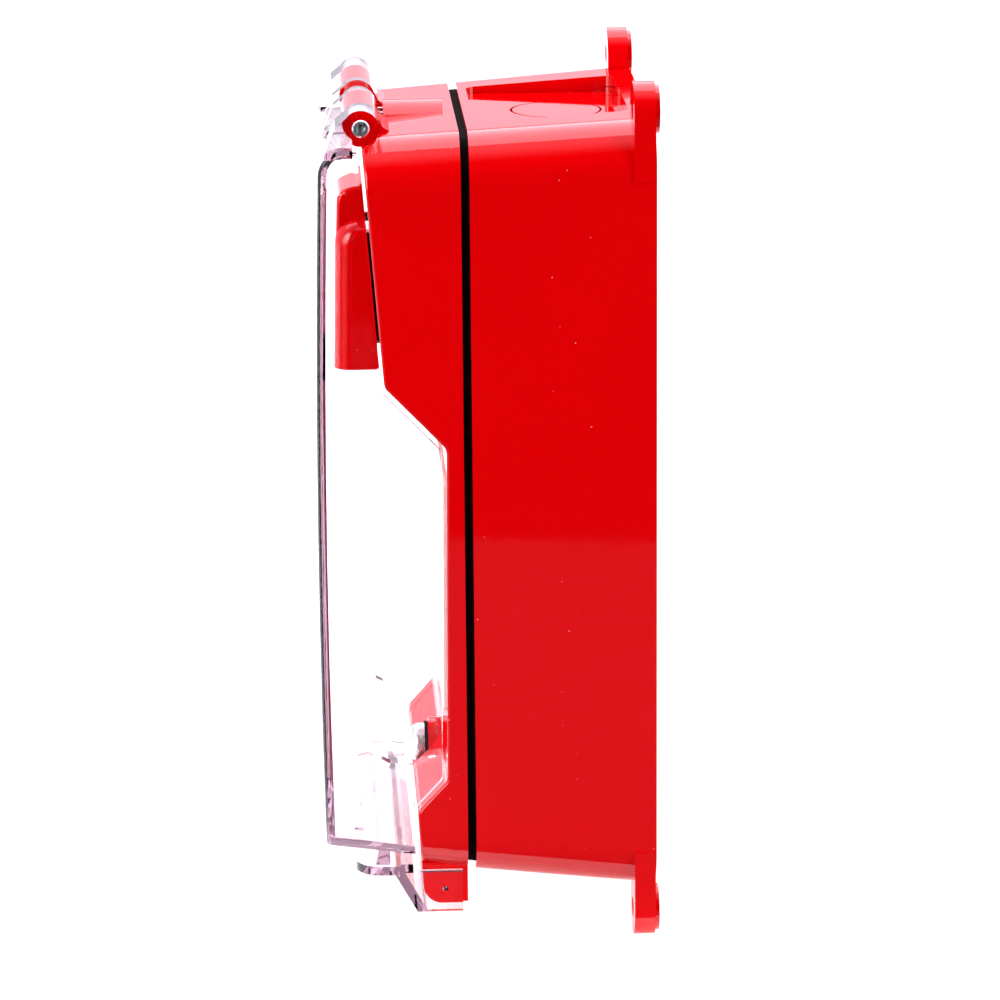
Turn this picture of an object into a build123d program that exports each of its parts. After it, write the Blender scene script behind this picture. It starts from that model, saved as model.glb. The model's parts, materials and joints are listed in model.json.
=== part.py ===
from build123d import *
import math
import os

# Wall-mounted manual call point: a sealed red housing, a red front cover with a
# pull-down handle, and a clear spring-hinged lid over the front.
# Frame: origin on the wall at the centre of the four mounting holes, +Z up,
# front towards -Y. "Depth" is the distance in front of the wall (Y = -depth).

os.makedirs("parts", exist_ok=True)

# ---------------------------------------------------------------- driving dimensions
# Outline of the body: half width, top and bottom at the wall, and how much each
# wall leans inwards for every millimetre of depth.
wall_half_width = 46.5
wall_top = 94.5
wall_bottom = -92.0
side_draft = 0.07
top_draft = 0.065
bottom_draft = 0.09
corner_radius = 11.0
wall = 2.6
floor_thickness = 3.0
back_depth = 0.8

# Mounting lugs
hole_spacing_x = 80.0
hole_spacing_z = 194.0
hole_radius = 2.5
lug_radius = 6.5
lug_front = 6.0
lug_back = 1.0
lug_reach = 16.0
pad_radius = 5.6

# Cable entry in the top wall
entry_half_width = 25.0
entry_back_depth = 5.5
entry_front_depth = 41.5
entry_corner = 2.5
entry_floor_z = 90.3
entry_thickness = 2.3
knockout_radius = 11.0
knockout_depth = 21.0
knockout_groove_width = 0.6
knockout_groove_depth = 1.4

# Joint between the housing and the front cover
joint_depth = 43.6
gasket_thickness = 2.0
gasket_outer_inset = 1.6
gasket_inner_inset = 3.2
cover_back = joint_depth + gasket_thickness

# Front cover outline, seen from the side
face_top_depth = 68.1
face_foot_depth = 63.85
face_foot_z = 32.9
recess_top_z = 18.2
recess_top_depth = 49.6
recess_bottom_z = -63.1
recess_bottom_depth = 50.3
land_top_z = -71.0
land_depth = 57.5
land_foot_depth = 56.3
contour_radius = 3.0
cover_wall = 2.4
outline_softening = 0.7

# Seal tab under the front cover
tab_half_width = 38.5
tab_bottom = -95.0
tab_depth = 56.0
seal_hole_depth = 51.0
seal_hole_z = -91.5
seal_hole_radius = 0.7

# Hooks at the top of the front cover
hook_x = 22.0
hook_width = 10.0
keeper_width = 14.0

# Hinge of the clear lid
hinge_depth = 68.2
hinge_z = 93.3
barrel_radius = 4.2
pin_radius = 2.0
pin_clearance = 0.05
lid_half = 38.4
outer_split = 27.0
inner_split = 8.8
spring_gap = 4.4
knuckle_play = 0.2
knuckle_clearance = 0.8

# Spring boss on top of the front cover
boss_back = 48.2
boss_front = 62.3
boss_half_width = 7.0
boss_foot_z = 90.0
boss_height = 3.6
spring_wire = 0.35
spring_leg_x = 3.15
spring_leg_z = 90.7
spring_leg_grip = 7.0

# Clear lid
lid_wall = 2.2
lid_gap = 1.2
lid_front_top = 78.2
lid_front_middle = 79.9
lid_front_bottom = 79.3
lid_top_z = 87.6
lid_bottom_front_z = -79.4
lid_bottom_rear_z = -82.0
lid_rear_depth = 58.7
lid_top_corner = 5.5
lid_bottom_corner = 4.0
lid_edge = 1.8
lip_front = 72.3
lip_bottom = -86.9
lip_thickness = 2.2
lip_corner = 6.5
ear_inner = 39.4
ear_outer = 41.6
ear_back = 46.9
ear_top = -86.4
ear_bottom = -96.3
rib_x = 31.0
rib_length = 3.0

# Pull handle
grip_half_width = 16.0
grip_front_top = 74.0
grip_front_bottom = 75.0
grip_top_z = 75.5
grip_bottom_z = 31.5
grip_step_z = 67.5
neck_half_width = 12.5
grip_edge = 4.2
neck_edge = 1.0
grip_foot_corner = 3.4
handle_wall = 2.4
handle_gap = 0.6

# Cover screw and its insert
screw_z = -67.0
screw_seat_depth = 53.6
seat_radius = 6.2
screw_head_radius = 4.8
screw_head_height = 3.6
screw_radius = 2.5
screw_length = 18.0

# Circuit board, hung on four posts behind the front cover
board_back = 38.0
board_thickness = 1.6
board_front = board_back + board_thickness
board_half_width = 32.0
board_top = 72.0
board_bottom = -40.0
post_x = 27.0
post_top_z = 64.0
post_bottom_z = -33.0
post_radius = 3.2
board_screw_radius = 1.5
terminal_z = -8.0
terminal_x = 15.5
terminal_ways = 4
terminal_pitch = 6.5
magnet_z = 50.0
reed_depth = 58.5
reed_radius = 1.2

# Status lamp and handle guide, measured on the sloping face from its middle
face_middle_z = 54.0
lamp_x = 20.0
lamp_y = 14.0
lens_radius = 2.5
guide_screw_y = 9.0
guide_screw_radius = 1.5

# Rail, slider and detent of the handle, measured outwards from the sloping face
guide_stem = 4.0
guide_head = 6.5
guide_height = 3.4
guide_head_thickness = 1.5
guide_length = 28.0
guide_middle = -5.5
guide_play = 0.3
slider_back = 0.6
slider_front = 4.6
slider_roof = 3.75
slider_half_width = 12.0
slider_length = 16.0
slider_middle = 0.0
slider_screw_x = 9.6
magnet_y = -4.0
detent_ball_radius = 1.0
detent_length = 4.5

# Cover screw's seal and the instruction plate
seal_thickness = 0.8
seal_radius = 5.2
plate_half_width = 34.0
plate_height = 58.0
plate_thickness = 0.5
plate_middle_z = -20.0

# Vertical plane through the object: local x is depth, local y is height.
side_plane = Plane(origin=(0, 0, 0), x_dir=(0, -1, 0), z_dir=(-1, 0, 0))
# Plane of the sloping upper face of the front cover: x across, y up, z outwards.
face_lean = math.degrees(
    math.atan((face_top_depth - face_foot_depth) / (wall_top - 6 - face_foot_z))
)
face_depth = face_foot_depth + math.tan(math.radians(face_lean)) * (face_middle_z - face_foot_z)
face_plane = Plane(
    origin=(0, -face_depth, face_middle_z),
    x_dir=(1, 0, 0),
    z_dir=(0, -math.cos(math.radians(face_lean)), -math.sin(math.radians(face_lean))),
)
recess_lean = math.degrees(
    math.atan((recess_bottom_depth - recess_top_depth) / (recess_top_z - recess_bottom_z))
)
recess_depth = recess_top_depth + math.tan(math.radians(recess_lean)) * (
    recess_top_z - plate_middle_z
)
recess_plane = Plane(
    origin=(0, -recess_depth, plate_middle_z),
    x_dir=(1, 0, 0),
    z_dir=(0, -math.cos(math.radians(recess_lean)), math.sin(math.radians(recess_lean))),
)
# Across the slider, through the detent ball: the ball runs on the rail's head
detent_plane = Plane(
    origin=face_plane.from_local_coords(
        Vector(guide_head + 0.12, slider_middle - 5.5, guide_height - guide_head_thickness / 2)
    ),
    x_dir=face_plane.y_dir,
    z_dir=(1, 0, 0),
)


def side_plane_at(x):
    """The vertical side plane moved sideways to x."""
    return side_plane.offset(-x)


def body_limits(depth, inset=0.0):
    """Half width, top and bottom of the leaning walls at one depth."""
    half_width = wall_half_width - side_draft * depth - inset
    top = wall_top - top_draft * depth - inset
    bottom = wall_bottom + bottom_draft * depth + inset
    return half_width, top, bottom


def body_section(depth, inset=0.0):
    """Rounded rectangle of the body's outline at one depth."""
    half_width, top, bottom = body_limits(depth, inset)
    with BuildSketch(Plane.XZ.offset(depth)) as section:
        with Locations((0, (top + bottom) / 2)):
            RectangleRounded(2 * half_width, top - bottom, corner_radius - 0.8 * inset)
    return section.sketch.face()


def body_sections(rear, front, inset=0.0):
    """The two outlines that a loft joins into a block with leaning walls."""
    return [body_section(rear, inset), body_section(front, inset)]


def cover_profile(shift=0.0, rear=40.0):
    """Side outline of the front cover's body, moved forwards by shift."""
    top = wall_top + 20
    bottom = wall_bottom - 20
    slope = (face_top_depth - face_foot_depth) / (wall_top - 6 - face_foot_z)
    with BuildSketch(side_plane) as profile:
        with BuildLine():
            Polyline(
                (rear - 10, top),
                (face_foot_depth + slope * (top - face_foot_z), top),
                (face_foot_depth, face_foot_z),
                (recess_top_depth, recess_top_z),
                (recess_bottom_depth, recess_bottom_z),
                (land_depth, land_top_z),
                (land_foot_depth - 1.2, bottom),
                (rear - 10, bottom),
                close=True,
            )
        make_face()
        corners = profile.vertices().filter_by(lambda v: abs(v.Y) < 80)
        fillet(corners, contour_radius)
        if shift:
            offset(amount=shift, kind=Kind.INTERSECTION)
    return profile.sketch.face()


def lid_profile(inset=0.0):
    """Side outline of the clear lid, open-ended behind the front cover's face."""
    with BuildSketch(side_plane) as profile:
        with BuildLine():
            ThreePointArc(
                (lid_front_top - inset, lid_top_z - inset),
                (lid_front_middle - inset, 0),
                (lid_front_bottom - inset, lid_bottom_front_z + inset),
            )
            Polyline(
                (lid_front_bottom - inset, lid_bottom_front_z + inset),
                (lid_rear_depth, lid_bottom_rear_z + inset),
                (cover_back - 4, lid_bottom_rear_z + inset),
                (cover_back - 4, lid_top_z - inset),
                (lid_front_top - inset, lid_top_z - inset),
            )
        make_face()
        depth_groups = profile.vertices().group_by(Axis.X)
        front_corners = depth_groups[-1] + depth_groups[-2]
        fillet(front_corners.sort_by(Axis.Y)[-1], lid_top_corner - inset)
        fillet(front_corners.sort_by(Axis.Y)[0], lid_bottom_corner - inset)
    return profile.sketch.face()


top_at_joint, bottom_at_joint = body_limits(joint_depth)[1:]


# ---------------------------------------------------------------- rear housing
with BuildPart() as rear_housing:
    loft(body_sections(back_depth, joint_depth), ruled=True)
    # Four lugs that run down into the side walls, each on a round stand-off pad
    for side in (-1, 1):
        for end in (-1, 1):
            centre_x = side * hole_spacing_x / 2
            centre_z = end * hole_spacing_z / 2
            with BuildSketch(Plane.XZ.offset(lug_back)):
                with Locations((centre_x, centre_z)):
                    Circle(lug_radius)
                with Locations((centre_x, centre_z - end * lug_reach / 2)):
                    Rectangle(2 * lug_radius, lug_reach)
            extrude(amount=lug_front - lug_back)
            with BuildSketch(Plane.XZ):
                with Locations((centre_x, centre_z)):
                    Circle(pad_radius)
            extrude(amount=lug_back)
    with BuildSketch(Plane.XZ):
        with GridLocations(hole_spacing_x, hole_spacing_z, 2, 2):
            Circle(hole_radius)
    extrude(amount=lug_front, mode=Mode.SUBTRACT)
    loft(
        body_sections(back_depth + floor_thickness, joint_depth + 0.01, wall),
        ruled=True,
        mode=Mode.SUBTRACT,
    )
    # Level recess for a cable entry, thickened inside, with a round knock-out
    with BuildSketch(Plane.XY.offset(entry_floor_z - entry_thickness)):
        with Locations((0, -(entry_front_depth + back_depth) / 2 - 1)):
            Rectangle(2 * entry_half_width + 6, entry_front_depth - back_depth)
    extrude(amount=entry_thickness + 1)
    with BuildSketch(Plane.XY.offset(entry_floor_z)):
        with Locations((0, -(entry_front_depth + entry_back_depth) / 2)):
            RectangleRounded(2 * entry_half_width, entry_front_depth - entry_back_depth, entry_corner)
    extrude(amount=wall_top, mode=Mode.SUBTRACT)
    with BuildSketch(Plane.XY.offset(entry_floor_z)):
        with Locations((0, -knockout_depth)):
            Circle(knockout_radius)
            Circle(knockout_radius - knockout_groove_width, mode=Mode.SUBTRACT)
    extrude(amount=-knockout_groove_depth, mode=Mode.SUBTRACT)
    # Column for the cover screw's insert, stiffened by two ribs
    with BuildSketch(Plane.XZ.offset(back_depth + 1)):
        with Locations((0, screw_z)):
            Circle(5.6)
            Rectangle(26, 2.0)
    extrude(amount=joint_depth - 2.5 - back_depth - 1)
    with BuildSketch(Plane.XZ.offset(joint_depth - 2.5 - 10)):
        with Locations((0, screw_z)):
            Circle(3.3)
    extrude(amount=10, mode=Mode.SUBTRACT)
    with BuildSketch(Plane.XZ.offset(joint_depth - 2.5 - 22)):
        with Locations((0, screw_z)):
            Circle(2.8)
    extrude(amount=12.5, mode=Mode.SUBTRACT)
    # Keeper bar under the top edge that the front cover's hooks go behind
    for side in (-1, 1):
        with BuildSketch(side_plane_at(side * hook_x - keeper_width / 2)):
            with BuildLine():
                Polyline(
                    (joint_depth - 8, top_at_joint - wall + 0.6),
                    (joint_depth - 5, top_at_joint - wall + 0.6),
                    (joint_depth - 5, top_at_joint - wall - 3.2),
                    (joint_depth - 6.5, top_at_joint - wall - 3.2),
                    close=True,
                )
            make_face()
        extrude(amount=-keeper_width)
rear_housing.part.label = "rear_housing"
export_step(rear_housing.part, "parts/rear_housing.step")

# ---------------------------------------------------------------- housing gasket
with BuildPart() as housing_gasket:
    loft(
        body_sections(joint_depth, cover_back, gasket_outer_inset),
        ruled=True,
    )
    loft(
        body_sections(joint_depth - 0.01, cover_back + 0.01, gasket_inner_inset),
        ruled=True,
        mode=Mode.SUBTRACT,
    )
housing_gasket.part.label = "housing_gasket"
export_step(housing_gasket.part, "parts/housing_gasket.step")

# ---------------------------------------------------------------- front cover
# Space inside the cover, open towards the housing
with BuildPart() as cover_space:
    loft(body_sections(cover_back - 1, face_top_depth + 6, cover_wall), ruled=True)
    extrude(cover_profile(-cover_wall), amount=wall_half_width, both=True, mode=Mode.INTERSECT)

with BuildPart() as front_cover:
    loft(body_sections(cover_back, face_top_depth + 6), ruled=True)
    extrude(cover_profile(), amount=wall_half_width, both=True, mode=Mode.INTERSECT)
    # Soften the front outline along both sides
    outline_edges = front_cover.edges().filter_by(
        lambda e: abs(e.center().Z) < 82
        and e.center().Y < -cover_back - 2
        and abs(e.center().X) > wall_half_width - 8
    )
    fillet(outline_edges, outline_softening)
    # Cove that lets the lid's knuckles turn
    with BuildSketch(Plane.YZ):
        with Locations((-hinge_depth, hinge_z)):
            Circle(barrel_radius + knuckle_clearance)
    extrude(amount=lid_half + 0.8, both=True, mode=Mode.SUBTRACT)
    # Tab under the cover that takes a tamper seal
    with BuildSketch(side_plane):
        with BuildLine():
            Polyline(
                (cover_back, bottom_at_joint + 3),
                (tab_depth + 0.6, bottom_at_joint + 3),
                (tab_depth, tab_bottom),
                (cover_back, tab_bottom),
                close=True,
            )
        make_face()
    extrude(amount=tab_half_width, both=True)
    tab_edge = front_cover.edges().filter_by(Axis.X).group_by(Axis.Z)[0].sort_by(Axis.Y)[0]
    fillet(tab_edge, 4.5)
    add(cover_space.part, mode=Mode.SUBTRACT)
    with BuildSketch(side_plane):
        with BuildLine():
            Polyline(
                (cover_back - 1, bottom_at_joint),
                (tab_depth - cover_wall, bottom_at_joint),
                (tab_depth - cover_wall, tab_bottom + 5.5),
                (tab_depth - 5.5, tab_bottom + cover_wall),
                (cover_back - 1, tab_bottom + cover_wall),
                close=True,
            )
        make_face()
    extrude(amount=tab_half_width - cover_wall, both=True, mode=Mode.SUBTRACT)
    with BuildSketch(Plane.YZ):
        with Locations((-seal_hole_depth, seal_hole_z)):
            Circle(seal_hole_radius)
    extrude(amount=tab_half_width + 1, both=True, mode=Mode.SUBTRACT)
    # Fixed hinge knuckles on their neck
    for side in (-1, 1):
        knuckle_start = inner_split + knuckle_play / 2
        knuckle_length = outer_split - inner_split - knuckle_play
        with BuildSketch(Plane.YZ.offset(side * knuckle_start)):
            with Locations((-hinge_depth, hinge_z)):
                Circle(barrel_radius)
            with BuildLine():
                Polyline(
                    (-hinge_depth + 4.1, hinge_z + 0.6),
                    (-hinge_depth + 5.2, hinge_z - 1.6),
                    (-hinge_depth + 7.4, hinge_z - 3.2),
                    (-hinge_depth + 7.4, hinge_z - 6.4),
                    (-hinge_depth + 0.5, hinge_z - 6.4),
                    (-hinge_depth - 2.8, hinge_z - 3.0),
                    close=True,
                )
            make_face()
        extrude(amount=side * knuckle_length)
    with BuildSketch(Plane.YZ):
        with Locations((-hinge_depth, hinge_z)):
            Circle(pin_radius + 0.02)
    extrude(amount=outer_split, both=True, mode=Mode.SUBTRACT)
    # Raised boss on the top that holds the lid spring's two legs
    with BuildSketch(Plane.XZ.offset(boss_back)):
        with BuildLine():
            Polyline(
                (-boss_half_width, boss_foot_z - 1),
                (-boss_half_width, boss_foot_z + 0.6),
            )
            ThreePointArc(
                (-boss_half_width, boss_foot_z + 0.6),
                (0, boss_foot_z + boss_height),
                (boss_half_width, boss_foot_z + 0.6),
            )
            Polyline(
                (boss_half_width, boss_foot_z + 0.6),
                (boss_half_width, boss_foot_z - 1),
                (-boss_half_width, boss_foot_z - 1),
            )
        make_face()
    extrude(amount=boss_front - boss_back)
    with BuildSketch(Plane.XZ.offset(hinge_depth)):
        with Locations((-spring_leg_x, spring_leg_z), (spring_leg_x, spring_leg_z)):
            Circle(spring_wire + 0.15)
    extrude(amount=boss_front - hinge_depth - spring_leg_grip, mode=Mode.SUBTRACT)
    # Seat for the cover screw: a boss above the ramp and a spot-face into it
    with BuildSketch(Plane.XZ.offset(screw_seat_depth)):
        with Locations((0, screw_z)):
            Circle(seat_radius)
    extrude(amount=10, mode=Mode.SUBTRACT)
    with BuildSketch(Plane.XZ.offset(cover_back)):
        with Locations((0, screw_z)):
            Circle(seat_radius)
    extrude(amount=screw_seat_depth - cover_back)
    with BuildSketch(Plane.XZ.offset(cover_back - 1)):
        with Locations((0, screw_z)):
            Circle(screw_radius + 0.3)
    extrude(amount=12, mode=Mode.SUBTRACT)
    # Four posts for the circuit board
    for post_z, post_end in ((post_top_z, face_foot_depth + 1.5), (post_bottom_z, cover_back + 3)):
        with BuildSketch(Plane.XZ.offset(board_front)):
            with Locations((-post_x, post_z), (post_x, post_z)):
                Circle(post_radius)
        extrude(amount=post_end - board_front)
        with BuildSketch(Plane.XZ.offset(board_front)):
            with Locations((-post_x, post_z), (post_x, post_z)):
                Circle(board_screw_radius + 0.02)
        extrude(amount=6.5, mode=Mode.SUBTRACT)
    # Two hooks at the top that go behind the housing's keeper bars
    for side in (-1, 1):
        with BuildSketch(side_plane_at(side * hook_x - hook_width / 2)):
            with BuildLine():
                Polyline(
                    (cover_back + 5.0, top_at_joint - 1.2),
                    (cover_back + 5.0, top_at_joint - 8.6),
                    (joint_depth - 11.0, top_at_joint - 8.6),
                    (joint_depth - 11.0, top_at_joint - 4.4),
                    (joint_depth - 8.5, top_at_joint - 4.4),
                    (joint_depth - 8.5, top_at_joint - 6.2),
                    (cover_back + 2.4, top_at_joint - 6.2),
                    (cover_back + 2.4, top_at_joint - 1.2),
                    close=True,
                )
            make_face()
        extrude(amount=-hook_width)
    # Bosses behind the face for the handle guide's screws
    with BuildSketch(face_plane.offset(-1)):
        with Locations((0, guide_middle + guide_screw_y), (0, guide_middle - guide_screw_y)):
            Circle(3.0)
    extrude(amount=-4.2)
    # Windows and holes for the status lamp and the handle guide's screws
    with BuildSketch(face_plane):
        with Locations((lamp_x, lamp_y)):
            Circle(lens_radius + 0.1)
        with Locations((0, guide_middle + guide_screw_y), (0, guide_middle - guide_screw_y)):
            Circle(guide_screw_radius + 0.1)
    extrude(amount=-8, both=True, mode=Mode.SUBTRACT)
front_cover.part.label = "front_cover"
export_step(front_cover.part, "parts/front_cover.step")

# ---------------------------------------------------------------- clear lid
with BuildPart() as lid_space:
    loft(body_sections(cover_back, lid_front_middle + 6, lid_wall), ruled=True)
    extrude(lid_profile(lid_wall), amount=wall_half_width, both=True, mode=Mode.INTERSECT)

with BuildPart() as clear_cover:
    loft(body_sections(cover_back, lid_front_middle + 6), ruled=True)
    extrude(lid_profile(), amount=wall_half_width, both=True, mode=Mode.INTERSECT)
    for side_face in (clear_cover.faces().sort_by(Axis.X)[0], clear_cover.faces().sort_by(Axis.X)[-1]):
        fillet(side_face.edges().filter_by(lambda e: e.center().Y < -cover_back - 1), lid_edge)
    add(lid_space.part, mode=Mode.SUBTRACT)
    extrude(cover_profile(lid_gap), amount=wall_half_width, both=True, mode=Mode.SUBTRACT)
    # Finger lip across the bottom, with rounded front corners, on a short wall
    with BuildSketch(Plane.XY.offset(lip_bottom)):
        with Locations((0, -(lip_front + lid_rear_depth) / 2)):
            RectangleRounded(2 * ear_outer, lip_front - lid_rear_depth, lip_corner)
        with Locations((0, -(lip_front + 3 * lid_rear_depth) / 4)):
            Rectangle(2 * ear_outer, (lip_front - lid_rear_depth) / 2)
    extrude(amount=lip_thickness)
    with BuildSketch(side_plane):
        with BuildLine():
            Polyline(
                (lid_rear_depth + 5.5, lip_bottom + 0.5),
                (lid_rear_depth + 9.5, lip_bottom + 0.5),
                (lid_rear_depth + 8.0, lid_bottom_rear_z + 1.6),
                (lid_rear_depth + 5.5, lid_bottom_rear_z + 1.6),
                close=True,
            )
        make_face()
    extrude(amount=ear_outer - 1.5, both=True)
    # Rear skirt that joins the lip to the bottom wall at each end, and the hood
    # round the seal tab: two side ears and a sloping front sheet
    with BuildSketch(side_plane):
        with BuildLine():
            Polyline(
                (lid_rear_depth + 4.9, lip_bottom + 1.0),
                (lid_rear_depth - 0.9, ear_bottom),
                (lid_rear_depth - 3.2, ear_bottom),
                (lid_rear_depth + 2.5, lip_bottom + 1.0),
                close=True,
            )
        make_face()
    extrude(amount=ear_outer, both=True)
    for side in (-1, 1):
        with BuildSketch(side_plane_at(side * ear_inner)):
            with BuildLine():
                Polyline(
                    (lid_rear_depth + 3.0, lip_bottom + 1.0),
                    (lid_rear_depth - 1.6, ear_bottom),
                    (ear_back, ear_bottom),
                    (ear_back, ear_top),
                    (lid_rear_depth - 1.0, ear_top),
                    (lid_rear_depth, lid_bottom_rear_z + 1.0),
                    (lid_rear_depth + 3.0, lid_bottom_rear_z + 1.0),
                    close=True,
                )
            make_face()
        extrude(amount=-side * (ear_outer - ear_inner))
    # Slanted inner ribs in the lower corners
    for side in (-1, 1):
        with BuildSketch(side_plane_at(side * rib_x)):
            with BuildLine():
                Polyline(
                    (72.8, lid_bottom_front_z + 0.6),
                    (71.0, -72.0),
                    (65.6, -60.0),
                    (63.6, -61.0),
                    (69.0, -72.6),
                    (70.6, lid_bottom_front_z + 0.6),
                    close=True,
                )
            make_face()
        extrude(amount=-side * rib_length)
    # Four hinge arms with their knuckles
    for side in (-1, 1):
        for start, end in (
            (spring_gap, inner_split - knuckle_play / 2),
            (outer_split + knuckle_play / 2, lid_half),
        ):
            with BuildSketch(Plane.YZ.offset(side * start)):
                with Locations((-hinge_depth, hinge_z)):
                    Circle(barrel_radius)
                with BuildLine():
                    Polyline(
                        (-hinge_depth - 1.6, hinge_z + 3.85),
                        (-hinge_depth - 5.9, hinge_z + 0.4),
                        (-lid_front_top + 1.4, lid_top_z - 0.6),
                        (-lid_front_top + 1.4, lid_top_z - 1.6),
                        (-hinge_depth - 2.0, lid_top_z - 1.6),
                        (-hinge_depth - 2.0, hinge_z - 3.6),
                        close=True,
                    )
                make_face()
            extrude(amount=side * (end - start))
    with BuildSketch(Plane.YZ):
        with Locations((-hinge_depth, hinge_z)):
            Circle(pin_radius + pin_clearance)
    extrude(amount=lid_half, both=True, mode=Mode.SUBTRACT)
clear_cover.part.label = "clear_cover"
export_step(clear_cover.part, "parts/clear_cover.step")

# ---------------------------------------------------------------- hinge pin and lid spring
with BuildPart() as hinge_pin:
    with BuildSketch(Plane.YZ):
        with Locations((-hinge_depth, hinge_z)):
            Circle(pin_radius)
    extrude(amount=lid_half - 0.3, both=True)
    end_edges = hinge_pin.edges().filter_by(GeomType.CIRCLE)
    chamfer(end_edges, 0.3)
    # Drilled dimple in each end
    for side in (-1, 1):
        with BuildSketch(Plane.YZ.offset(side * (lid_half - 0.3))):
            with Locations((-hinge_depth, hinge_z)):
                Circle(1.0)
        extrude(amount=-side * 1.2, mode=Mode.SUBTRACT)
hinge_pin.part.label = "hinge_pin"
export_step(hinge_pin.part, "parts/hinge_pin.step")

coil_centre_radius = pin_radius + 0.25 + spring_wire
with BuildPart() as lid_spring:
    # Close-wound turns, drawn as rings that touch side by side
    turn_count = 10
    turn_pitch = 2 * spring_wire
    for turn in range(turn_count):
        turn_x = (turn - (turn_count - 1) / 2) * turn_pitch
        with BuildSketch(Plane.XZ.offset(hinge_depth)):
            with Locations((turn_x, hinge_z + coil_centre_radius)):
                Circle(spring_wire * 1.02)
        revolve(axis=Axis((0, -hinge_depth, hinge_z), (1, 0, 0)))
    # Two legs that run back into the boss
    for side in (-1, 1):
        with BuildSketch(Plane.XZ.offset(boss_front - spring_leg_grip + 1)):
            with Locations((side * 3.15, hinge_z - coil_centre_radius)):
                Circle(spring_wire)
        extrude(amount=hinge_depth - boss_front + spring_leg_grip - 1)
lid_spring.part.label = "lid_spring"
export_step(lid_spring.part, "parts/lid_spring.step")

# ---------------------------------------------------------------- cover screw, seal, insert
head_back = screw_seat_depth + seal_thickness
with BuildPart() as cover_screw:
    with BuildSketch(Plane.XZ.offset(head_back)):
        with Locations((0, screw_z)):
            Circle(screw_head_radius)
    extrude(amount=screw_head_height)
    crown = cover_screw.edges().filter_by(GeomType.CIRCLE).sort_by(Axis.Y)[0]
    fillet(crown, 2.3)
    # Cross recess
    with BuildSketch(Plane.XZ.offset(head_back + screw_head_height)):
        with Locations((0, screw_z)):
            Rectangle(4.6, 0.9)
            Rectangle(0.9, 4.6)
    extrude(amount=-1.9, mode=Mode.SUBTRACT)
    with BuildSketch(Plane.XZ.offset(head_back)):
        with Locations((0, screw_z)):
            Circle(screw_radius)
    extrude(amount=-screw_length)
    tip = cover_screw.edges().filter_by(GeomType.CIRCLE).sort_by(Axis.Y)[-1]
    chamfer(tip, 0.6)
cover_screw.part.label = "cover_screw"
export_step(cover_screw.part, "parts/cover_screw.step")

with BuildPart() as screw_seal:
    with BuildSketch(Plane.XZ.offset(screw_seat_depth)):
        with Locations((0, screw_z)):
            Circle(seal_radius)
            Circle(screw_radius + 0.05, mode=Mode.SUBTRACT)
    extrude(amount=seal_thickness)
screw_seal.part.label = "screw_seal"
export_step(screw_seal.part, "parts/screw_seal.step")

with BuildPart() as threaded_insert:
    with BuildSketch(Plane.XZ.offset(joint_depth - 12.5)):
        with Locations((0, screw_z)):
            Circle(3.25)
            Circle(screw_radius + 0.03, mode=Mode.SUBTRACT)
    extrude(amount=10)
    # Two knurled bands, shown as a waist between them
    with BuildSketch(Plane.XZ.offset(joint_depth - 8.5)):
        with Locations((0, screw_z)):
            Circle(3.4)
            Circle(2.95, mode=Mode.SUBTRACT)
    extrude(amount=2, mode=Mode.SUBTRACT)
threaded_insert.part.label = "threaded_insert"
export_step(threaded_insert.part, "parts/threaded_insert.step")

# ---------------------------------------------------------------- instruction plate
with BuildPart() as instruction_plate:
    with BuildSketch(recess_plane):
        RectangleRounded(2 * plate_half_width, plate_height, 3)
    extrude(amount=plate_thickness)
instruction_plate.part.label = "instruction_plate"
export_step(instruction_plate.part, "parts/instruction_plate.step")

# ---------------------------------------------------------------- handle guide and slider
# T-shaped rail fixed on the sloping face
with BuildPart() as handle_guide:
    with BuildSketch(face_plane):
        with Locations((0, guide_middle)):
            RectangleRounded(2 * guide_stem, guide_length, 2)
    extrude(amount=guide_height)
    with BuildSketch(face_plane.offset(guide_height - guide_head_thickness)):
        with Locations((0, guide_middle)):
            RectangleRounded(2 * guide_head, guide_length, 2)
    extrude(amount=guide_head_thickness)
    with Locations(face_plane.offset(guide_height)):
        with Locations((0, guide_middle + guide_screw_y), (0, guide_middle - guide_screw_y)):
            CounterSinkHole(guide_screw_radius + 0.05, 2.85, depth=guide_height)
handle_guide.part.label = "handle_guide"
export_step(handle_guide.part, "parts/handle_guide.step")

with BuildPart() as guide_screws:
    for screw_y in (guide_middle + guide_screw_y, guide_middle - guide_screw_y):
        with Locations(face_plane.offset(guide_height - 0.1)):
            with Locations((0, screw_y, -0.85)):
                Cone(1.4, 2.4, 1.2)
            with Locations((0, screw_y, -4.4)):
                Cylinder(guide_screw_radius, 6.2)
guide_screws.part.label = "guide_screws"
export_step(guide_screws.part, "parts/guide_screws.step")

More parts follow.
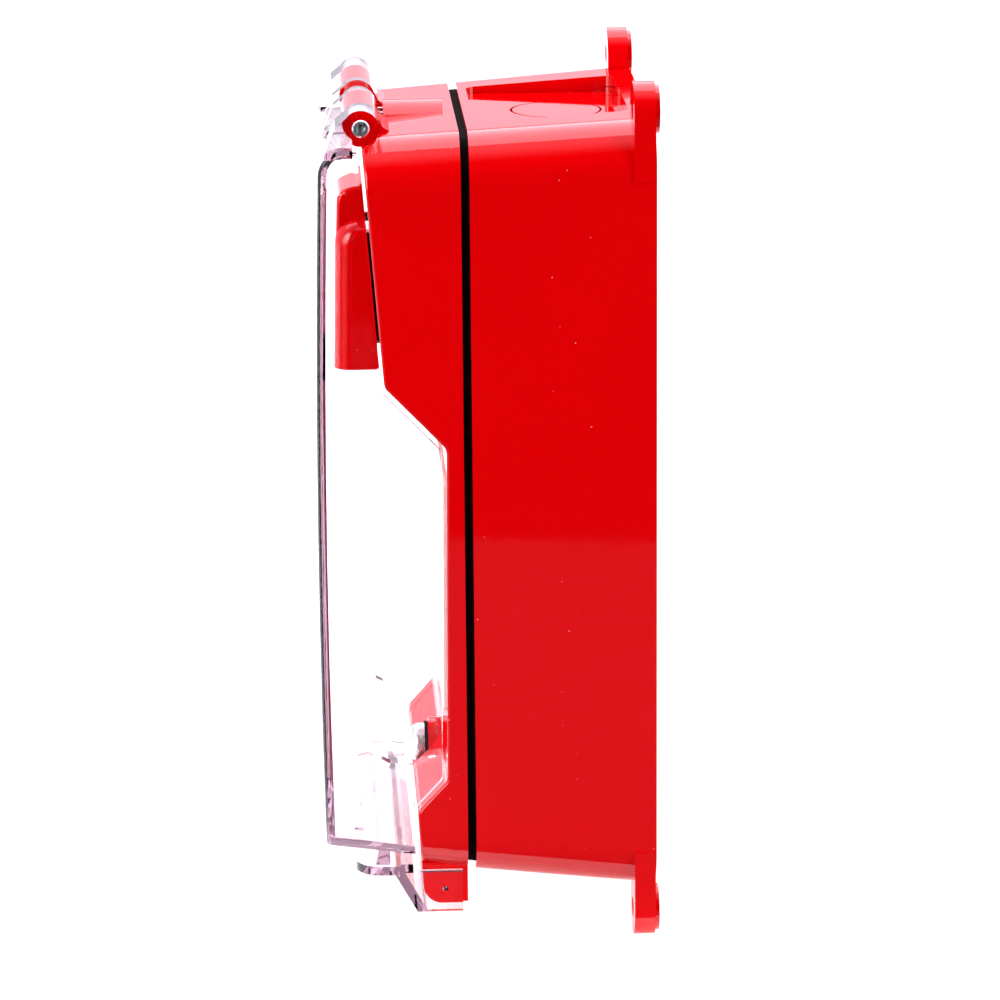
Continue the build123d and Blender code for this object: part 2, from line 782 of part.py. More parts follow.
with BuildPart() as handle_slider:
    with BuildSketch(face_plane.offset(slider_back)):
        with Locations((0, slider_middle)):
            RectangleRounded(2 * slider_half_width, slider_length, 1.5)
    extrude(amount=slider_front - slider_back)
    # T-slot that runs on the rail
    with BuildSketch(face_plane.offset(slider_back)):
        with Locations((0, slider_middle)):
            Rectangle(2 * (guide_stem + guide_play), slider_length + 2)
    extrude(amount=slider_roof - slider_back, mode=Mode.SUBTRACT)
    with BuildSketch(face_plane.offset(guide_height - guide_head_thickness - guide_play)):
        with Locations((0, slider_middle)):
            Rectangle(2 * (guide_head + guide_play), slider_length + 2)
    extrude(
        amount=guide_head_thickness + guide_play + slider_roof - guide_height,
        mode=Mode.SUBTRACT,
    )
    with BuildSketch(face_plane.offset(slider_back)):
        with GridLocations(2 * slider_screw_x, 0, 2, 1):
            with Locations((0, slider_middle)):
                Circle(1.55)
    extrude(amount=10, mode=Mode.SUBTRACT)
    with BuildSketch(face_plane.offset(slider_back)):
        with GridLocations(2 * slider_screw_x, 0, 2, 1):
            with Locations((0, slider_middle)):
                Circle(2.1)
    extrude(amount=1.5, mode=Mode.SUBTRACT)
    # Seat of the detent ball and its spring
    with BuildSketch(detent_plane):
        Circle(detent_ball_radius + 0.05)
    extrude(amount=detent_length, mode=Mode.SUBTRACT)
handle_slider.part.label = "handle_slider"
export_step(handle_slider.part, "parts/handle_slider.step")

with BuildPart() as slider_screws:
    for side in (-1, 1):
        with Locations(face_plane.offset(slider_back + 0.2)):
            with Locations((side * slider_screw_x, slider_middle, 0.6)):
                Cylinder(2.0, 1.2)
            with Locations((side * slider_screw_x, slider_middle, 2.9)):
                Cylinder(1.45, 5.2)
slider_screws.part.label = "slider_screws"
export_step(slider_screws.part, "parts/slider_screws.step")

with BuildPart() as detent_ball:
    with Locations(detent_plane.offset(detent_ball_radius)):
        Sphere(detent_ball_radius)
detent_ball.part.label = "detent_ball"
export_step(detent_ball.part, "parts/detent_ball.step")

with BuildPart() as detent_spring:
    ring_count = 5
    for ring in range(ring_count):
        ring_start = 2 * detent_ball_radius + 0.25 + ring * 0.42
        with BuildSketch(detent_plane.offset(ring_start)):
            Circle(0.9)
            Circle(0.5, mode=Mode.SUBTRACT)
        extrude(amount=0.43)
detent_spring.part.label = "detent_spring"
export_step(detent_spring.part, "parts/detent_spring.step")


# ---------------------------------------------------------------- pull handle
def handle_profile(top, front_at_top, corner, inset=0.0):
    """Side outline of the handle up to one height, ending above the sloping face."""
    slope = math.tan(math.radians(face_lean))
    rear_at_bottom = face_foot_depth + slope * (grip_bottom_z - face_foot_z) + handle_gap
    rear_at_top = face_foot_depth + slope * (top - face_foot_z) + handle_gap
    open_back = 3.0 if inset else 0.0
    with BuildSketch(side_plane) as profile:
        with BuildLine():
            Polyline(
                (rear_at_bottom - open_back, grip_bottom_z + inset),
                (grip_front_bottom - inset, grip_bottom_z + inset),
                (front_at_top - inset, top - inset),
                (rear_at_top - open_back, top - inset),
                close=True,
            )
        make_face()
        front = profile.vertices().filter_by(lambda v: v.X > grip_front_top - 4)
        fillet(front.sort_by(Axis.Y)[-1], corner)
        fillet(front.sort_by(Axis.Y)[0], grip_foot_corner - inset)
    return profile.sketch.face()


with BuildPart() as pull_handle:
    # Wide grip below, narrower neck above
    extrude(
        handle_profile(grip_step_z, grip_front_top + 0.2, 6.0),
        amount=grip_half_width,
        both=True,
    )
    grip_sides = pull_handle.edges().filter_by(
        lambda e: abs(e.center().Y) > grip_front_top - 3
        and abs(abs(e.center().X) - grip_half_width) < 0.1
    )
    fillet(grip_sides, grip_edge)
    extrude(
        handle_profile(grip_top_z, grip_front_top - 0.4, 4.5),
        amount=neck_half_width,
        both=True,
    )
    neck_sides = pull_handle.edges().filter_by(
        lambda e: abs(abs(e.center().X) - neck_half_width) < 0.1 and e.center().Z > grip_step_z
    )
    neck_front = neck_sides.filter_by(lambda e: abs(e.center().Y) > grip_front_top - 8)
    fillet(neck_front, neck_edge)
    # Hollow behind, closed at the front, sides, top and bottom
    extrude(
        handle_profile(grip_step_z, grip_front_top + 0.2, 4.0, handle_wall),
        amount=grip_half_width - handle_wall,
        both=True,
        mode=Mode.SUBTRACT,
    )
    extrude(
        handle_profile(grip_top_z, grip_front_top - 0.4, 3.0, handle_wall),
        amount=neck_half_width - handle_wall,
        both=True,
        mode=Mode.SUBTRACT,
    )
    # Two bosses that the slider is screwed to
    for side in (-1, 1):
        with BuildSketch(face_plane.offset(slider_front)):
            with Locations((side * slider_screw_x, slider_middle)):
                Circle(2.6)
        extrude(amount=3.2)
        with BuildSketch(face_plane.offset(slider_front)):
            with Locations((side * slider_screw_x, slider_middle)):
                Circle(1.47)
        extrude(amount=2.4, mode=Mode.SUBTRACT)
pull_handle.part.label = "pull_handle"
export_step(pull_handle.part, "parts/pull_handle.step")

with BuildPart() as handle_magnet:
    with BuildSketch(face_plane.offset(slider_front + 0.05)):
        with Locations((0, magnet_y)):
            Circle(3.6)
    extrude(amount=1.4)
handle_magnet.part.label = "handle_magnet"
export_step(handle_magnet.part, "parts/handle_magnet.step")

# ---------------------------------------------------------------- electronics
with BuildPart() as circuit_board:
    with BuildSketch(Plane.XZ.offset(board_back)):
        with Locations((0, (board_top + board_bottom) / 2)):
            RectangleRounded(2 * board_half_width, board_top - board_bottom, 2.5)
        with Locations(
            (-post_x, post_top_z),
            (post_x, post_top_z),
            (-post_x, post_bottom_z),
            (post_x, post_bottom_z),
        ):
            Circle(board_screw_radius + 0.2, mode=Mode.SUBTRACT)
    extrude(amount=board_thickness)
circuit_board.part.label = "circuit_board"
export_step(circuit_board.part, "parts/circuit_board.step")

with BuildPart() as board_screws:
    for screw_x in (-post_x, post_x):
        for board_screw_z in (post_bottom_z, post_top_z):
            with BuildSketch(Plane.XZ.offset(board_back)):
                with Locations((screw_x, board_screw_z)):
                    Circle(2.8)
            extrude(amount=-2.0)
            with BuildSketch(Plane.XZ.offset(board_back - 2.0)):
                with Locations((screw_x, board_screw_z)):
                    Rectangle(3.0, 0.6)
                    Rectangle(0.6, 3.0)
            extrude(amount=1.0, mode=Mode.SUBTRACT)
            with BuildSketch(Plane.XZ.offset(board_back)):
                with Locations((screw_x, board_screw_z)):
                    Circle(board_screw_radius)
            extrude(amount=7.5)
board_screws.part.label = "board_screws"
export_step(board_screws.part, "parts/board_screws.step")

terminal_width = terminal_ways * terminal_pitch + 1.5
terminal_spots = [
    block * terminal_x + (way - (terminal_ways - 1) / 2) * terminal_pitch
    for block in (-1, 1)
    for way in range(terminal_ways)
]
with BuildPart() as terminal_blocks:
    for block in (-1, 1):
        with BuildSketch(side_plane_at(block * terminal_x - terminal_width / 2)):
            with BuildLine():
                Polyline(
                    (board_back, terminal_z + 6),
                    (board_back - 10, terminal_z + 6),
                    (board_back - 10, terminal_z - 2),
                    (board_back - 8, terminal_z - 6),
                    (board_back, terminal_z - 6),
                    close=True,
                )
            make_face()
        extrude(amount=-terminal_width)
    for spot_x in terminal_spots:
        with BuildSketch(Plane.XZ.offset(board_back - 10)):
            with Locations((spot_x, terminal_z + 2)):
                Circle(2.1)
        extrude(amount=5, mode=Mode.SUBTRACT)
        with BuildSketch(Plane.XY.offset(terminal_z - 6)):
            with Locations((spot_x, -board_back + 4.2)):
                RectangleRounded(4.4, 4.6, 0.6)
        extrude(amount=6.5, mode=Mode.SUBTRACT)
terminal_blocks.part.label = "terminal_blocks"
export_step(terminal_blocks.part, "parts/terminal_blocks.step")

with BuildPart() as terminal_screws:
    for spot_x in terminal_spots:
        with BuildSketch(Plane.XZ.offset(board_back - 9)):
            with Locations((spot_x, terminal_z + 2)):
                Circle(1.95)
        extrude(amount=3.9)
        with BuildSketch(Plane.XZ.offset(board_back - 9)):
            with Locations((spot_x, terminal_z + 2)):
                Rectangle(3.4, 0.7)
        extrude(amount=0.8, mode=Mode.SUBTRACT)
terminal_screws.part.label = "terminal_screws"
export_step(terminal_screws.part, "parts/terminal_screws.step")

# Carrier that holds the reed switch close behind the handle's magnet
with BuildPart() as reed_carrier:
    with BuildSketch(Plane.XZ.offset(board_front)):
        with Locations((0, magnet_z)):
            RectangleRounded(9, 26, 1)
    extrude(amount=reed_depth - board_front + 0.4)
    with BuildSketch(Plane.XY.offset(magnet_z - 11)):
        with Locations((0, -reed_depth)):
            Circle(reed_radius + 0.15)
            with Locations((0, -2)):
                Rectangle(2 * reed_radius + 0.3, 4)
    extrude(amount=22, mode=Mode.SUBTRACT)
    with BuildSketch(Plane.XZ.offset(board_front)):
        with Locations((0, magnet_z - 12), (0, magnet_z + 12)):
            Rectangle(1.6, 2.1)
    extrude(amount=reed_depth, mode=Mode.SUBTRACT)
reed_carrier.part.label = "reed_carrier"
export_step(reed_carrier.part, "parts/reed_carrier.step")

with BuildPart() as reed_switch:
    with BuildSketch(Plane.XY.offset(magnet_z - 7)):
        with Locations((0, -reed_depth)):
            Circle(reed_radius)
    extrude(amount=14)
    glass_ends = reed_switch.edges().filter_by(GeomType.CIRCLE)
    fillet(glass_ends, 0.9)
reed_switch.part.label = "reed_switch"
export_step(reed_switch.part, "parts/reed_switch.step")

with BuildPart() as reed_leads:
    for end in (-1, 1):
        with BuildLine() as lead_path:
            FilletPolyline(
                (0, -reed_depth, magnet_z + end * 7.05),
                (0, -reed_depth, magnet_z + end * 12.0),
                (0, -board_front, magnet_z + end * 12.0),
                radius=0.9,
            )
        with BuildSketch(Plane.XY.offset(magnet_z + end * 7.05)):
            with Locations((0, -reed_depth)):
                Circle(0.3)
        sweep(path=lead_path.line)
reed_leads.part.label = "reed_leads"
export_step(reed_leads.part, "parts/reed_leads.step")

with BuildPart() as control_chip:
    with BuildSketch(Plane.XZ.offset(board_front + 0.25)):
        with Locations((0, 18)):
            Rectangle(10, 10)
    extrude(amount=1.4)
    with BuildSketch(Plane.XZ.offset(board_front)):
        for lead in range(8):
            lead_place = (lead - 3.5) * 1.1
            with Locations((-5.6, 18 + lead_place), (5.6, 18 + lead_place)):
                Rectangle(1.6, 0.45)
            with Locations((lead_place, 18 - 5.6), (lead_place, 18 + 5.6)):
                Rectangle(0.45, 1.6)
    extrude(amount=0.6)
control_chip.part.label = "control_chip"
export_step(control_chip.part, "parts/control_chip.step")

with BuildPart() as address_switch:
    with BuildSketch(Plane.XZ.offset(board_front)):
        with Locations((0, -12)):
            Rectangle(22, 8)
    extrude(amount=3.6)
    with BuildSketch(Plane.XZ.offset(board_front + 3.6)):
        with Locations((0, -12)):
            with GridLocations(2.54, 0, 8, 1):
                Rectangle(1.4, 4.2)
    extrude(amount=-1.2, mode=Mode.SUBTRACT)
address_switch.part.label = "address_switch"
export_step(address_switch.part, "parts/address_switch.step")

with BuildPart() as address_levers:
    for lever in range(8):
        lever_z = -12 + (0.9 if lever % 3 else -0.9)
        with BuildSketch(Plane.XZ.offset(board_front + 2.45)):
            with Locations(((lever - 3.5) * 2.54, lever_z)):
                Rectangle(1.1, 1.8)
        extrude(amount=1.5)
address_levers.part.label = "address_levers"
export_step(address_levers.part, "parts/address_levers.step")

with BuildPart() as capacitors:
    for can_x in (-18, 18):
        with BuildSketch(Plane.XZ.offset(board_front)):
            with Locations((can_x, 38)):
                Circle(4.0)
        extrude(amount=9.5)
    can_rims = capacitors.edges().filter_by(GeomType.CIRCLE).group_by(Axis.Y)[0]
    fillet(can_rims, 0.7)
capacitors.part.label = "capacitors"
export_step(capacitors.part, "parts/capacitors.step")

with BuildPart() as resistors:
    for row in range(3):
        for column in (-1, 1):
            with BuildSketch(Plane.XZ.offset(board_front)):
                with Locations((column * 22, -18 + row * 9)):
                    Rectangle(3.2, 1.6)
            extrude(amount=0.6)
resistors.part.label = "resistors"
export_step(resistors.part, "parts/resistors.step")

lamp_point = face_plane.from_local_coords(Vector(lamp_x, lamp_y, 0))
with BuildPart() as status_led:
    with BuildSketch(Plane.XZ.offset(board_front)):
        with Locations((lamp_x, lamp_point.Z)):
            Circle(2.3)
    extrude(amount=5)
    dome = status_led.edges().filter_by(GeomType.CIRCLE).sort_by(Axis.Y)[0]
    fillet(dome, 1.9)
status_led.part.label = "status_led"
export_step(status_led.part, "parts/status_led.step")

with BuildPart() as light_pipe:
    with BuildSketch(face_plane.offset(0.7)):
        with Locations((lamp_x, lamp_y)):
            Circle(lens_radius)
    extrude(amount=-20.0)
light_pipe.part.label = "light_pipe"
export_step(light_pipe.part, "parts/light_pipe.step")
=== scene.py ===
"""The looks of the manual call point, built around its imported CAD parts."""

import json
import math

import bpy
from mathutils import Matrix, Vector


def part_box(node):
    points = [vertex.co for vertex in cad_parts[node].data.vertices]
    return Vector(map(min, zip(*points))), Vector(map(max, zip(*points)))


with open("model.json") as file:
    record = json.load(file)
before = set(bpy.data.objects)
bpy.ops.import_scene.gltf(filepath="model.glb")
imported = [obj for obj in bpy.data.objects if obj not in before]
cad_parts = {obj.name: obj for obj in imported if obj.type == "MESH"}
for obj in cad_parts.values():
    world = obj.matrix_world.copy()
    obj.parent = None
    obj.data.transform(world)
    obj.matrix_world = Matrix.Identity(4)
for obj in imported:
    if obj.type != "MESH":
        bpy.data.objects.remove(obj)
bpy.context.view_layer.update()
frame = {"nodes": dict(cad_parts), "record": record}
nodes = frame["nodes"]

# The camera: its direction is in degrees, its lens and sensor in millimetres, the rest in metres.
camera_azimuth = 87.187
camera_elevation = 15.112
camera_roll = -0.5235
camera_distance = 1.04599
camera_aim = Vector((0, -0.035164, -0.005744))
lens_mm = 154.4
sensor_mm = 36.0

# The studio.
floor_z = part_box("rear_housing")[0].z
apron_start = 0.055
floor_front = 0.40
floor_back = -4.0
floor_half_width = 3.0
back_shade, back_glow = (0.86, 0.86, 0.87), 0.5
apron_shade, apron_glow = (0.075, 0.075, 0.088), 0.0
seen_white = 1.2
white_share = 0.85
world_tint = (0.94, 0.87, 1.0)
world_strength = 1.25
fade_start, fade_end = 0.15, 0.75
front_strength = 0.9
front_start, front_full = -0.45, -0.80

# The softboxes: where they hang, their sizes in metres, and their power in watts.
overhead_place, overhead_size, overhead_power = (-0.90, 0, 0.95), (1.9, 1.9), 36.0
overhead_colour = (0.86, 0.88, 1.0)
side_distance, side_offset, side_height = 0.9, 1.1, 0.35
side_size, side_power = (0.8, 0.9), 18.0

# Marks on the red plastic, and the colours of its surface.
dust_scale, dust_size, dust_share = 560.0, 0.13, 0.16
dust_colour = (0.75, 0.16, 0.16)
scratch_scale, scratch_stretch, scratch_share = 240.0, (1.0, 1.0, 0.16), 0.08
scratch_colour = (0.80, 0.16, 0.16)
red, deep_red = (0.62, 0.0004, 0.0016), (0.60, 0.0003, 0.0014)


class Shader:
    """A material's node tree, with the few nodes that this script uses made in one line each."""

    def __init__(self, name):
        self.material = bpy.data.materials.new(name)
        self.material.use_nodes = True
        self.nodes = self.material.node_tree.nodes
        self.links = self.material.node_tree.links
        self.nodes.clear()
        self.output = self.nodes.new("ShaderNodeOutputMaterial")
        self.surface = self.nodes.new("ShaderNodeBsdfPrincipled")
        self.link(self.surface, "BSDF", self.output, "Surface")
        self.place = self.nodes.new("ShaderNodeTexCoord")

    def link(self, source, out_name, target, in_name):
        self.links.new(source.outputs[out_name], target.inputs[in_name])

    def set(self, **values):
        for name, value in values.items():
            self.surface.inputs[name.replace("_", " ")].default_value = value

    def stretched(self, scale):
        mapping = self.nodes.new("ShaderNodeMapping")
        mapping.inputs["Scale"].default_value = scale
        self.link(self.place, "Object", mapping, "Vector")
        return mapping

    def noise(self, scale, detail=2.0, stretch=None):
        texture = self.nodes.new("ShaderNodeTexNoise")
        texture.inputs["Scale"].default_value = scale
        texture.inputs["Detail"].default_value = detail
        if stretch:
            self.link(self.stretched(stretch), "Vector", texture, "Vector")
        else:
            self.link(self.place, "Object", texture, "Vector")
        return texture

    def cells(self, scale, stretch=None):
        texture = self.nodes.new("ShaderNodeTexVoronoi")
        texture.inputs["Scale"].default_value = scale
        if stretch:
            self.link(self.stretched(stretch), "Vector", texture, "Vector")
        else:
            self.link(self.place, "Object", texture, "Vector")
        return texture

    def remap(self, source, out_name, low, high, to_low=0.0, to_high=1.0):
        ramp = self.nodes.new("ShaderNodeMapRange")
        ramp.inputs["From Min"].default_value = low
        ramp.inputs["From Max"].default_value = high
        ramp.inputs["To Min"].default_value = to_low
        ramp.inputs["To Max"].default_value = to_high
        self.link(source, out_name, ramp, "Value")
        return ramp

    def product(self, first, second):
        node = self.nodes.new("ShaderNodeMath")
        node.operation = "MULTIPLY"
        self.links.new(first, node.inputs[0])
        self.links.new(second, node.inputs[1])
        return node

    def mix(self, factor, low, high):
        node = self.nodes.new("ShaderNodeMix")
        node.data_type = "RGBA"
        self.links.new(factor, node.inputs["Factor"])
        for socket, value in ((node.inputs[6], low), (node.inputs[7], high)):
            if hasattr(value, "is_linked"):
                self.links.new(value, socket)
            else:
                socket.default_value = (*value, 1.0)
        return node.outputs[2]

    def bump(self, height, strength, distance):
        node = self.nodes.new("ShaderNodeBump")
        node.inputs["Strength"].default_value = strength
        node.inputs["Distance"].default_value = distance
        self.links.new(height, node.inputs["Height"])
        self.link(node, "Normal", self.surface, "Normal")


def specks(shader, scale, size, share):
    """Dust specks: small dots on a random share of the cells of a fine pattern."""
    dots = shader.cells(scale)
    dot = shader.remap(dots, "Distance", size, size * 0.6)
    chosen = shader.remap(dots, "Color", share, share * 0.8)
    return shader.product(dot.outputs["Result"], chosen.outputs["Result"]).outputs[0]


def scratches(shader, scale, stretch, share):
    """Short fine scratches: the middle lines of stretched cells, on a random share of them."""
    cells = shader.cells(scale, stretch)
    line = shader.remap(cells, "Distance", 0.10, 0.05)
    chosen = shader.remap(cells, "Color", share, share * 0.8)
    return shader.product(line.outputs["Result"], chosen.outputs["Result"]).outputs[0]


def plastic(name, colour, deep_colour, roughness, specular=0.5, dusty=False, grain=0.15):
    """Moulded plastic: slow colour drift, a faint orange-peel surface, and dust and scratches where asked."""
    shader = Shader(name)
    drift = shader.remap(shader.noise(18.0, 3.0), "Fac", 0.35, 0.65)
    tone = shader.mix(drift.outputs["Result"], deep_colour, colour)
    if dusty:
        marks = specks(shader, dust_scale, dust_size, dust_share)
        tone = shader.mix(marks, tone, dust_colour)
        lines = scratches(shader, scratch_scale, scratch_stretch, scratch_share)
        tone = shader.mix(lines, tone, scratch_colour)
    shader.links.new(tone, shader.surface.inputs["Base Color"])
    wear = shader.remap(shader.noise(60.0, 4.0), "Fac", 0.3, 0.7, roughness * 0.75, roughness * 1.35)
    shader.link(wear, "Result", shader.surface, "Roughness")
    shader.surface.inputs["Specular IOR Level"].default_value = specular
    shader.bump(shader.noise(420.0, 2.0).outputs["Fac"], grain, 0.00004)
    return shader.material


def metal(name, colour, roughness, stretch=(1.0, 1.0, 1.0)):
    """Bright metal with fine drawn or turned lines, its polish varying along the lines."""
    shader = Shader(name)
    lines = shader.noise(900.0, 2.0, stretch)
    shade = shader.remap(lines, "Fac", 0.3, 0.7)
    darker = tuple(channel * 0.8 for channel in colour)
    shader.links.new(shader.mix(shade.outputs["Result"], darker, colour), shader.surface.inputs["Base Color"])
    rough = shader.remap(lines, "Fac", 0.3, 0.7, roughness * 0.7, roughness * 1.4)
    shader.link(rough, "Result", shader.surface, "Roughness")
    shader.surface.inputs["Metallic"].default_value = 1.0
    shader.bump(lines.outputs["Fac"], 0.2, 0.00002)
    return shader.material


def clear(name, tint, density, roughness=0.0):
    """Clear moulded plastic, tinted only along its length, as light through an edge shows it."""
    shader = Shader(name)
    shader.set(Transmission_Weight=1.0, IOR=1.55)
    smears = shader.remap(shader.noise(35.0, 4.0), "Fac", 0.45, 0.75, roughness, roughness + 0.03)
    shader.link(smears, "Result", shader.surface, "Roughness")
    shader.surface.inputs["Base Color"].default_value = (1, 1, 1, 1)
    shader.bump(shader.noise(30.0, 1.0).outputs["Fac"], 0.08, 0.0002)
    inside = shader.nodes.new("ShaderNodeVolumeAbsorption")
    inside.inputs["Color"].default_value = (*tint, 1.0)
    inside.inputs["Density"].default_value = density
    shader.link(inside, "Volume", shader.output, "Volume")
    path = shader.nodes.new("ShaderNodeLightPath")
    open_way = shader.nodes.new("ShaderNodeBsdfTransparent")
    chooser = shader.nodes.new("ShaderNodeMixShader")
    shader.link(path, "Is Shadow Ray", chooser, "Fac")
    shader.links.new(shader.surface.outputs["BSDF"], chooser.inputs[1])
    shader.links.new(open_way.outputs["BSDF"], chooser.inputs[2])
    shader.link(chooser, "Shader", shader.output, "Surface")
    return shader.material


def rubber(name):
    """Soft black rubber with a dull, slightly dusty skin."""
    shader = Shader(name)
    dusty = shader.remap(shader.noise(220.0, 5.0), "Fac", 0.45, 0.8)
    tone = shader.mix(dusty.outputs["Result"], (0.002, 0.002, 0.002), (0.008, 0.007, 0.007))
    shader.links.new(tone, shader.surface.inputs["Base Color"])
    shader.set(Roughness=0.8, Specular_IOR_Level=0.03)
    shader.bump(shader.noise(800.0, 3.0).outputs["Fac"], 0.3, 0.00005)
    return shader.material


def board(name):
    """Green solder mask over faint copper tracks."""
    shader = Shader(name)
    tracks = shader.cells(170.0, (1.0, 1.0, 1.0))
    tracks.feature = "DISTANCE_TO_EDGE"
    track = shader.remap(tracks, "Distance", 0.06, 0.03)
    tone = shader.mix(track.outputs["Result"], (0.01, 0.12, 0.05), (0.03, 0.24, 0.09))
    shader.links.new(tone, shader.surface.inputs["Base Color"])
    shader.set(Roughness=0.3)
    shader.bump(track.outputs["Result"], 0.3, 0.00005)
    return shader.material


materials = {
    "red_plastic": plastic("red_plastic", red, deep_red, 0.04, dusty=True),
    "gasket_rubber": rubber("gasket_rubber"),
    "zinc_steel": metal("zinc_steel", (0.86, 0.92, 0.95), 0.30, (1.0, 6.0, 1.0)),
    "spring_steel": metal("spring_steel", (0.62, 0.60, 0.58), 0.18),
    "brass": metal("brass", (0.80, 0.58, 0.26), 0.25),
    "white_plastic": plastic("white_plastic", (0.86, 0.86, 0.84), (0.82, 0.82, 0.80), 0.35),
    "black_plastic": plastic("black_plastic", (0.022, 0.022, 0.024), (0.015, 0.015, 0.016), 0.35),
    "clear_plastic": clear("clear_plastic", (0.60, 0.42, 0.50), 34.0),
    "board_green": board("board_green"),
    "terminal_green": plastic("terminal_green", (0.03, 0.33, 0.12), (0.025, 0.28, 0.10), 0.25),
    "reed_glass": clear("reed_glass", (0.75, 0.85, 0.78), 8.0),
    "chip_black": plastic("chip_black", (0.016, 0.016, 0.018), (0.010, 0.010, 0.011), 0.45, grain=0.5),
    "switch_blue": plastic("switch_blue", (0.02, 0.09, 0.45), (0.015, 0.07, 0.38), 0.3),
    "capacitor_sleeve": plastic("capacitor_sleeve", (0.03, 0.03, 0.05), (0.02, 0.02, 0.04), 0.25),
    "led_lens": plastic("led_lens", (0.7, 0.05, 0.03), (0.6, 0.04, 0.02), 0.12),
    "magnet_nickel": metal("magnet_nickel", (0.75, 0.75, 0.74), 0.12),
}


def dress_nodes():
    """Each CAD node takes the material of its own slot."""
    slots = {part["node"]: part["material_slot"] for part in frame["record"]["subparts"]}
    for name, node in nodes.items():
        for place in range(len(node.material_slots)):
            node.material_slots[place].material = materials[slots[name]]


def floor_part(name, back, front, shade, glow):
    """One part of the floor, nearly white to the camera.

    What lights the object is the part's own shade and glow.
    """
    mesh = bpy.data.meshes.new(name)
    corners = [
        (back, -floor_half_width, floor_z),
        (front, -floor_half_width, floor_z),
        (front, floor_half_width, floor_z),
        (back, floor_half_width, floor_z),
    ]
    mesh.from_pydata(corners, [], [(0, 1, 2, 3)])
    part = bpy.data.objects.new(name, mesh)
    bpy.context.scene.collection.objects.link(part)
    shader = Shader(name)
    darker = tuple(channel * 0.96 for channel in shade)
    tone = shader.mix(shader.noise(4.0).outputs["Fac"], darker, shade)
    shader.links.new(tone, shader.surface.inputs["Base Color"])
    shader.set(Roughness=0.6)
    shader.surface.inputs["Emission Color"].default_value = (1, 1, 1, 1)
    shader.surface.inputs["Emission Strength"].default_value = glow
    white = shader.nodes.new("ShaderNodeEmission")
    white.inputs["Strength"].default_value = seen_white
    soft_white = shader.nodes.new("ShaderNodeMixShader")
    soft_white.inputs["Fac"].default_value = white_share
    shader.links.new(shader.surface.outputs["BSDF"], soft_white.inputs[1])
    shader.links.new(white.outputs["Emission"], soft_white.inputs[2])
    path = shader.nodes.new("ShaderNodeLightPath")
    chooser = shader.nodes.new("ShaderNodeMixShader")
    shader.link(path, "Is Camera Ray", chooser, "Fac")
    shader.links.new(shader.surface.outputs["BSDF"], chooser.inputs[1])
    shader.links.new(soft_white.outputs["Shader"], chooser.inputs[2])
    shader.link(chooser, "Shader", shader.output, "Surface")
    mesh.materials.append(shader.material)


def make_floor():
    """A pale floor that carries on as the backdrop, with a dimmer apron in front of the object."""
    floor_part("floor_back", floor_back, apron_start, back_shade, back_glow)
    floor_part("floor_apron", apron_start, floor_front, apron_shade, apron_glow)


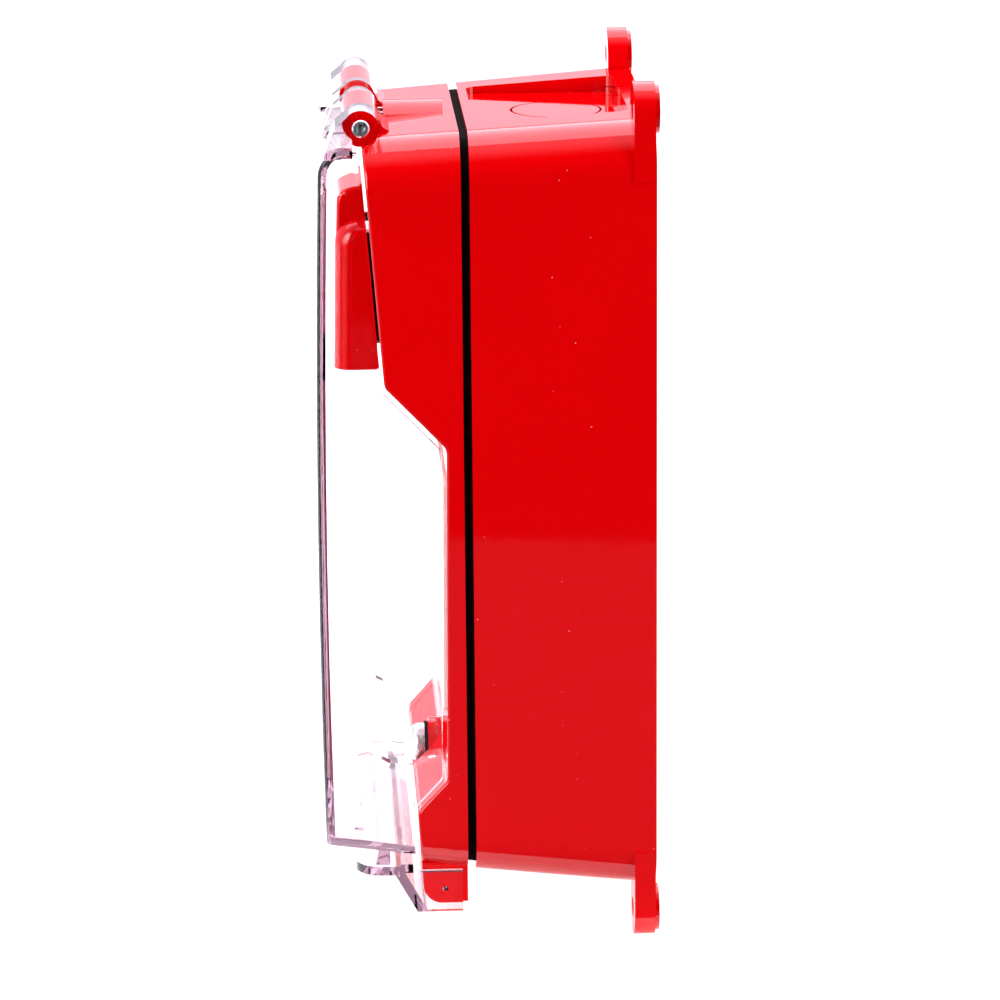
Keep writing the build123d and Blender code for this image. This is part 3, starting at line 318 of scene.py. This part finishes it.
def make_world():
    """Soft, slightly lilac light that fades out towards the camera's side, except in front of the object.

    The white branch was meant for the camera's view. The camera's own rays do not take it, so wherever
    the backdrop is the world it has the lit colour.
    """
    world = bpy.data.worlds.new("studio")
    bpy.context.scene.world = world
    world.use_nodes = True
    tree = world.node_tree
    tree.nodes.clear()
    output = tree.nodes.new("ShaderNodeOutputWorld")
    seen = tree.nodes.new("ShaderNodeBackground")
    seen.inputs["Color"].default_value = (1, 1, 1, 1)
    lit = tree.nodes.new("ShaderNodeBackground")
    lit.inputs["Color"].default_value = (*world_tint, 1)
    place = tree.nodes.new("ShaderNodeTexCoord")
    axes = tree.nodes.new("ShaderNodeSeparateXYZ")
    tree.links.new(place.outputs["Generated"], axes.inputs["Vector"])
    fade = tree.nodes.new("ShaderNodeMapRange")
    fade.interpolation_type = "SMOOTHSTEP"
    fade.inputs["From Min"].default_value = fade_start
    fade.inputs["From Max"].default_value = fade_end
    fade.inputs["To Min"].default_value = world_strength
    fade.inputs["To Max"].default_value = 0.0
    tree.links.new(axes.outputs["X"], fade.inputs["Value"])
    front = tree.nodes.new("ShaderNodeMapRange")
    front.interpolation_type = "SMOOTHSTEP"
    front.inputs["From Min"].default_value = front_start
    front.inputs["From Max"].default_value = front_full
    front.inputs["To Max"].default_value = front_strength
    tree.links.new(axes.outputs["Y"], front.inputs["Value"])
    brighter = tree.nodes.new("ShaderNodeMath")
    brighter.operation = "MAXIMUM"
    tree.links.new(fade.outputs["Result"], brighter.inputs[0])
    tree.links.new(front.outputs["Result"], brighter.inputs[1])
    tree.links.new(brighter.outputs["Value"], lit.inputs["Strength"])
    path = tree.nodes.new("ShaderNodeLightPath")
    chooser = tree.nodes.new("ShaderNodeMixShader")
    turned = tree.nodes.new("ShaderNodeMath")
    turned.operation = "SUBTRACT"
    tree.links.new(path.outputs["Ray Depth"], turned.inputs[0])
    tree.links.new(path.outputs["Transmission Depth"], turned.inputs[1])
    straight = tree.nodes.new("ShaderNodeMath")
    straight.operation = "LESS_THAN"
    straight.inputs[1].default_value = 0.5
    tree.links.new(turned.outputs["Value"], straight.inputs[0])
    tree.links.new(straight.outputs["Value"], chooser.inputs["Fac"])
    tree.links.new(lit.outputs["Background"], chooser.inputs[1])
    tree.links.new(seen.outputs["Background"], chooser.inputs[2])
    tree.links.new(chooser.outputs["Shader"], output.inputs["Surface"])


def softbox(name, place, size, power, colour=(1.0, 1.0, 1.0)):
    """An area light that looks at the middle of the object."""
    data = bpy.data.lights.new(name, "AREA")
    data.shape = "RECTANGLE"
    data.size, data.size_y = size
    data.energy = power
    data.color = colour
    lamp = bpy.data.objects.new(name, data)
    bpy.context.scene.collection.objects.link(lamp)
    lamp.location = place
    lamp.rotation_mode = "QUATERNION"
    lamp.rotation_quaternion = (camera_aim - Vector(place)).to_track_quat("-Z", "Y")
    return lamp


def make_lights():
    """One wide softbox over the far side, and one on each side of the camera."""
    overhead = softbox("overhead_softbox", overhead_place, overhead_size, overhead_power, overhead_colour)
    overhead.rotation_quaternion = (1, 0, 0, 0)
    softbox("left_softbox", (side_distance, -side_offset, side_height), side_size, side_power)
    softbox("right_softbox", (side_distance, side_offset, side_height), side_size, side_power)


def make_camera():
    """The camera looks at the right side from a little above."""
    azimuth, elevation = math.radians(camera_azimuth), math.radians(camera_elevation)
    back = Vector((
        math.sin(azimuth) * math.cos(elevation),
        -math.cos(azimuth) * math.cos(elevation),
        math.sin(elevation),
    ))
    right = (-back).cross(Vector((0, 0, 1))).normalized()
    up = right.cross(-back)
    roll = math.radians(camera_roll)
    across = right * math.cos(roll) + up * math.sin(roll)
    above = -right * math.sin(roll) + up * math.cos(roll)
    data = bpy.data.cameras.new("camera")
    data.lens = lens_mm
    data.sensor_width = sensor_mm
    camera = bpy.data.objects.new("camera", data)
    bpy.context.scene.collection.objects.link(camera)
    turn = Matrix((across, above, back)).transposed().to_4x4()
    camera.matrix_world = Matrix.Translation(camera_aim + back * camera_distance) @ turn
    bpy.context.scene.camera = camera


dress_nodes()
make_floor()
make_world()
make_lights()
make_camera()
bpy.context.scene.view_settings.view_transform = "Standard"
# Light has to cross the long clear walls edge-on, with many inner reflections.
bpy.context.scene.cycles.max_bounces = 24
bpy.context.scene.cycles.transmission_bounces = 24
bpy.context.scene.cycles.glossy_bounces = 8

bpy.context.view_layer.update()
